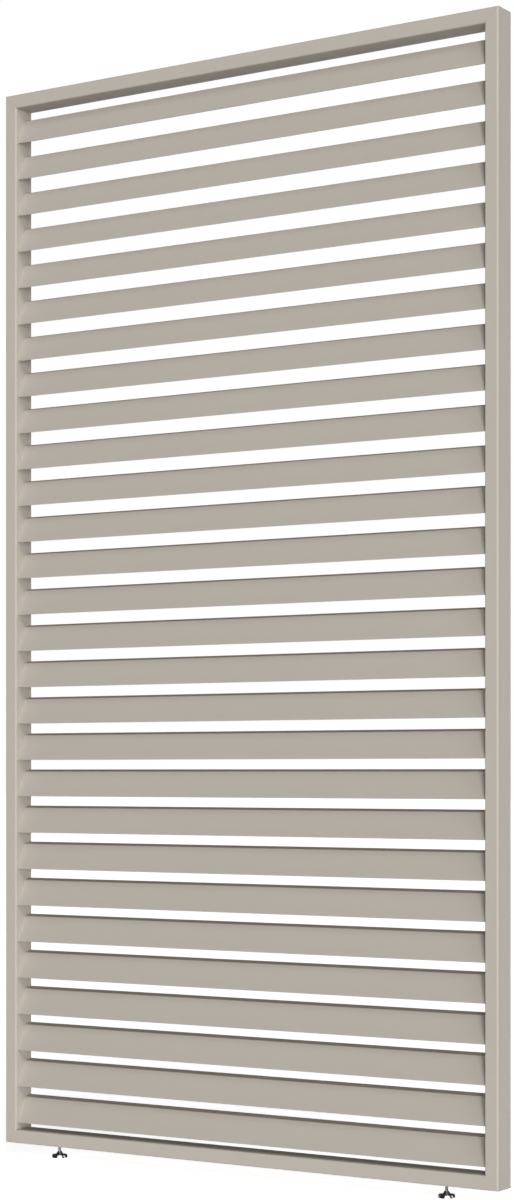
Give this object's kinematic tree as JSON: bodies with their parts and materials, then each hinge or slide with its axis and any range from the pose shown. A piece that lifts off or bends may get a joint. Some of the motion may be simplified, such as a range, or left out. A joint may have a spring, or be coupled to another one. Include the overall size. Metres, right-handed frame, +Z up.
{
  "type": "louvred shutter panel",
  "caption": "Free-standing louvred screen panel: slim mitred tube frame filled with fixed hollow slanted louvres, standing on screw-adjustable levelling feet.",
  "frame": {"origin": "on the floor, under the middle of the panel's width and depth", "axes": "+Z up along the stiles, +X to the right seen from the front, front faces along -Y"},
  "size_m": [1.1, 0.0508, 2.1035],
  "materials": {
    "frame_coat": "matte",
    "louvre_coat": "matte",
    "cleat_aluminium": "satin",
    "plug_plastic": "matte",
    "insert_steel": "satin",
    "foot_chrome": "polished",
    "stud_steel": "satin",
    "pad_rubber": "matte"
  },
  "bodies": {
    "panel": {"left_stile": "frame_coat", "right_stile": "frame_coat", "top_rail": "frame_coat", "bottom_rail": "frame_coat", "top_left_corner_cleat": "cleat_aluminium", "top_right_corner_cleat": "cleat_aluminium", "bottom_left_corner_cleat": "cleat_aluminium", "bottom_right_corner_cleat": "cleat_aluminium", "louvre_01": "louvre_coat", "louvre_02": "louvre_coat", "louvre_03": "louvre_coat", "louvre_04": "louvre_coat", "louvre_05": "louvre_coat", "louvre_06": "louvre_coat", "louvre_07": "louvre_coat", "louvre_08": "louvre_coat", "louvre_09": "louvre_coat", "louvre_10": "louvre_coat", "louvre_11": "louvre_coat", "louvre_12": "louvre_coat", "louvre_13": "louvre_coat", "louvre_14": "louvre_coat", "louvre_15": "louvre_coat", "louvre_16": "louvre_coat", "louvre_17": "louvre_coat", "louvre_18": "louvre_coat", "louvre_19": "louvre_coat", "louvre_20": "louvre_coat", "louvre_21": "louvre_coat", "louvre_22": "louvre_coat", "louvre_23": "louvre_coat", "louvre_24": "louvre_coat", "louvre_25": "louvre_coat", "louvre_26": "louvre_coat", "louvre_27": "louvre_coat", "louvre_28": "louvre_coat", "left_louvre_plugs": "plug_plastic", "right_louvre_plugs": "plug_plastic", "left_threaded_insert": "insert_steel", "right_threaded_insert": "insert_steel"},
    "left_foot": {"left_foot_base": "foot_chrome", "left_foot_pad": "pad_rubber"},
    "left_stud": {"left_foot_stud": "stud_steel"},
    "right_foot": {"right_foot_base": "foot_chrome", "right_foot_pad": "pad_rubber"},
    "right_stud": {"right_foot_stud": "stud_steel"}
  },
  "joints": [
    {"name": "left_foot_height", "type": "slide", "parent": "panel", "child": "left_foot", "axis": [0, 0, 1], "range_m": [-0.01, 0.004]},
    {"name": "left_stud_turn", "type": "hinge", "parent": "left_foot", "child": "left_stud", "pos_m": [-0.4338, 0, 0.0125], "axis": [0, 0, 1], "range_deg": [-3600.1, 1440.1]},
    {"name": "right_foot_height", "type": "slide", "parent": "panel", "child": "right_foot", "axis": [0, 0, 1], "range_m": [-0.01, 0.004]},
    {"name": "right_stud_turn", "type": "hinge", "parent": "right_foot", "child": "right_stud", "pos_m": [0.4338, 0, 0.0125], "axis": [0, 0, 1], "range_deg": [-3600.1, 1440.1]}
  ],
  "couplings": [
    {"joint": "left_stud_turn", "follows": "left_foot_height", "rad_per_m": 6283.2},
    {"joint": "right_stud_turn", "follows": "right_foot_height", "rad_per_m": 6283.2}
  ]
}
